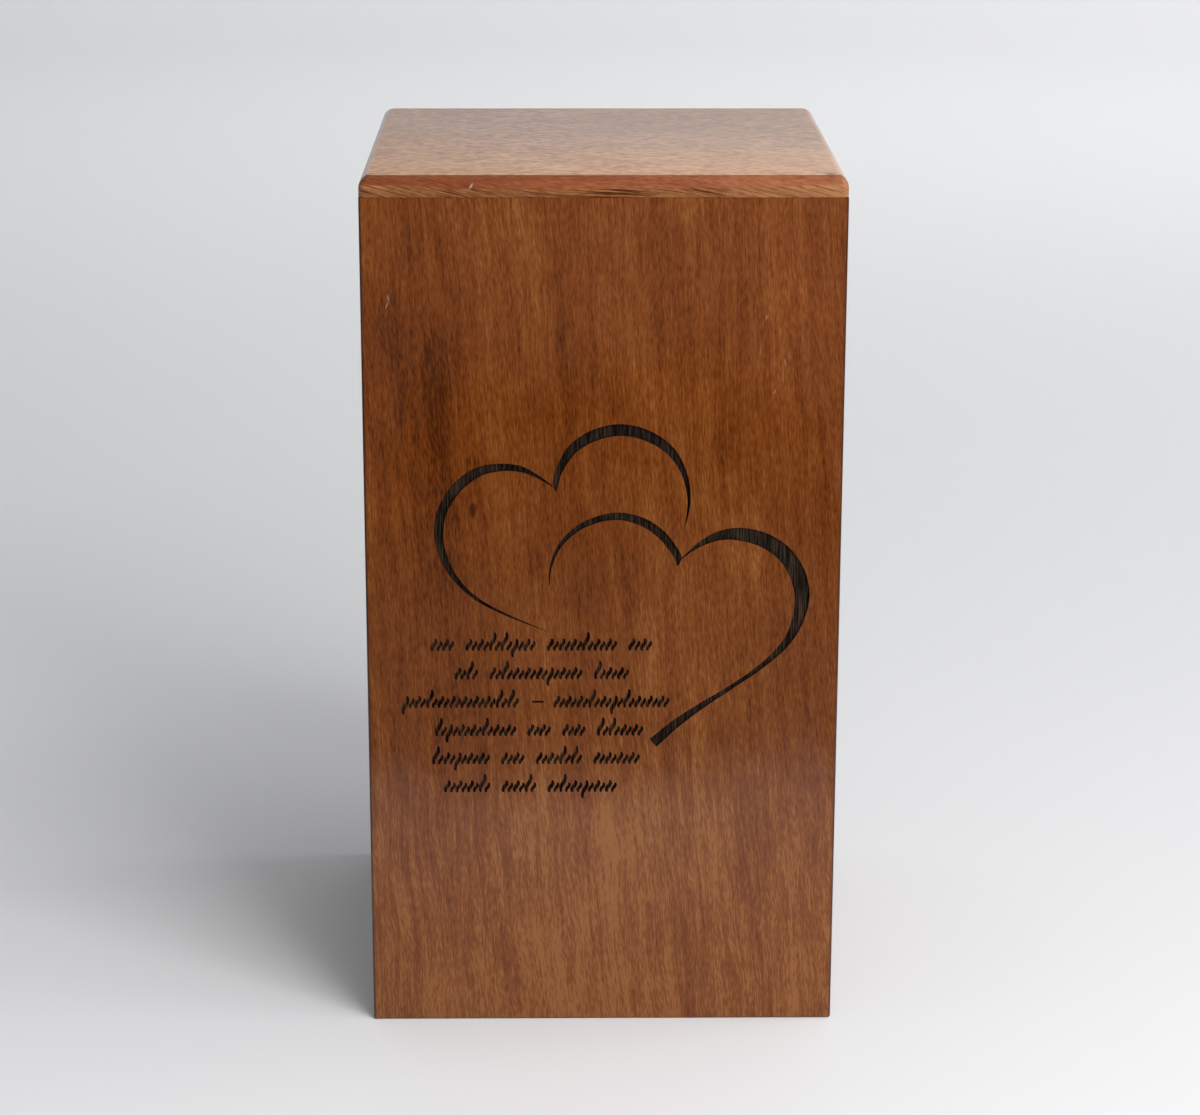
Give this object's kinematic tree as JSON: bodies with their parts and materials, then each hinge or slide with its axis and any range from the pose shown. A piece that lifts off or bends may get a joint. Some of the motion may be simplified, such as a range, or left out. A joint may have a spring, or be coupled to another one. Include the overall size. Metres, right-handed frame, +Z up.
{
  "type": "cremation urn box",
  "caption": "Upright wooden cremation urn box with a lift-off lid, mitred walls and a front carved with linked hearts and rows of plain strokes.",
  "frame": {"origin": "middle of the underside, on the surface the box stands on", "axes": "+Z up through the lid, the carved front faces -Y, +X to the right of someone who faces the front"},
  "size_m": [0.14, 0.14, 0.26],
  "materials": {
    "front_wood": "satin varnish, vertical grain, burnt dark brown in the cuts",
    "wall_wood": "satin varnish, vertical grain",
    "base_wood": "thin matt varnish",
    "lid_wood": "satin varnish, grain from left to right"
  },
  "bodies": {
    "root": {"front_board": "front_wood", "back_board": "wall_wood", "left_board": "wall_wood", "right_board": "wall_wood", "base_board": "base_wood", "lid": "lid_wood"}
  },
  "joints": []
}
